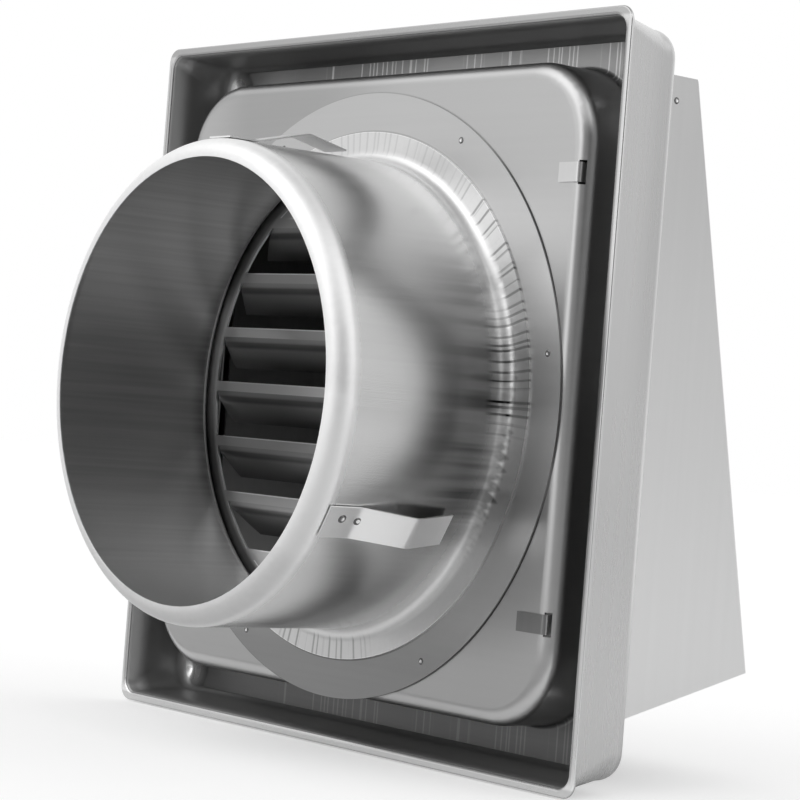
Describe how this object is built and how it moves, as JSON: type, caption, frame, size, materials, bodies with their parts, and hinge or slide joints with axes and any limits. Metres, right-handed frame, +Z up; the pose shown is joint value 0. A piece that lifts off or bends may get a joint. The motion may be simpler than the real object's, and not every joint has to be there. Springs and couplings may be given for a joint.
{
  "type": "dryer vent cap",
  "caption": "Square stainless wall vent cap: framed base pan with a round louvred opening, a sprung duct spigot behind and a sloping hood open below in front.",
  "frame": {"origin": "on the duct spigot's axis, in the plane of the frame's lip that lies on the wall", "axes": "+X to the right as seen from outside, +Y into the wall along the duct, +Z up"},
  "size_m": [0.215, 0.1452, 0.2151],
  "materials": {
    "frame_steel": "brushed",
    "pan_steel": "satin",
    "plate_steel": "satin",
    "spigot_steel": "brushed along the tube",
    "hood_steel": "brushed",
    "spring_steel": "bright rolled"
  },
  "bodies": {
    "root": {"outer_frame": "frame_steel", "base_pan": "pan_steel", "louvre_plate": "plate_steel", "duct_spigot": "spigot_steel", "hood_shell": "hood_steel", "hood_lid": "hood_steel", "spring_top": "spring_steel", "spring_left": "spring_steel", "spring_right": "spring_steel"}
  },
  "joints": []
}
